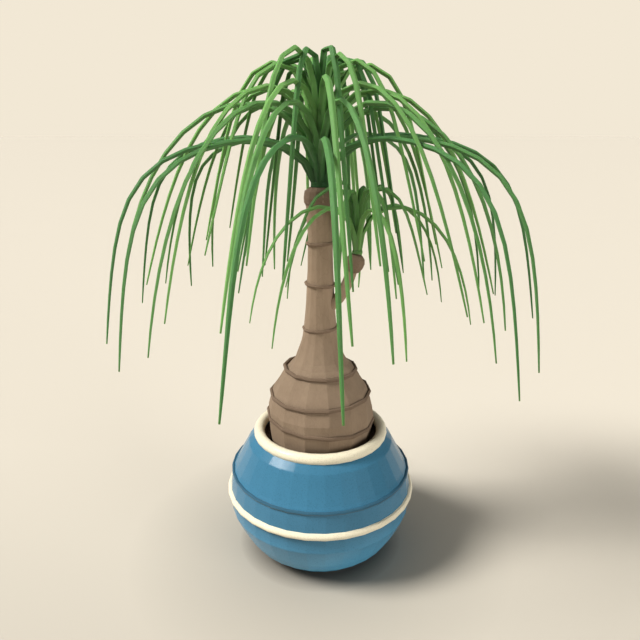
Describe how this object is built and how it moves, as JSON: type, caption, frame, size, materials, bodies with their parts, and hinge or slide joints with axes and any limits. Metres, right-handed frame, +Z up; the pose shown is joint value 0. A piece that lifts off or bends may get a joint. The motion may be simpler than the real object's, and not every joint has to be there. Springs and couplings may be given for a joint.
{
  "type": "potted ponytail palm",
  "caption": "House plant with a swollen ringed trunk, arching heads of long strap leaves and a side shoot, standing in a round-bellied glazed pot with a raised rim and band.",
  "frame": {"origin": "middle of the pot's flat foot, on the surface that the pot stands on", "axes": "+Z up along the trunk, -Y towards the front, +X to the right, the side the small shoot grows on"},
  "size_m": [0.4131, 0.4333, 0.5034],
  "materials": {
    "blue_glaze": "gloss",
    "cream_glaze": "satin",
    "dark_glaze": "gloss",
    "soil": "matte",
    "bark": "matte",
    "scar_bark": "matte",
    "leaf": "satin"
  },
  "bodies": {
    "root": {"pot": "blue_glaze", "soil": "soil", "trunk": "bark", "crown_leaves": "leaf", "side_leaves": "leaf"}
  },
  "joints": []
}
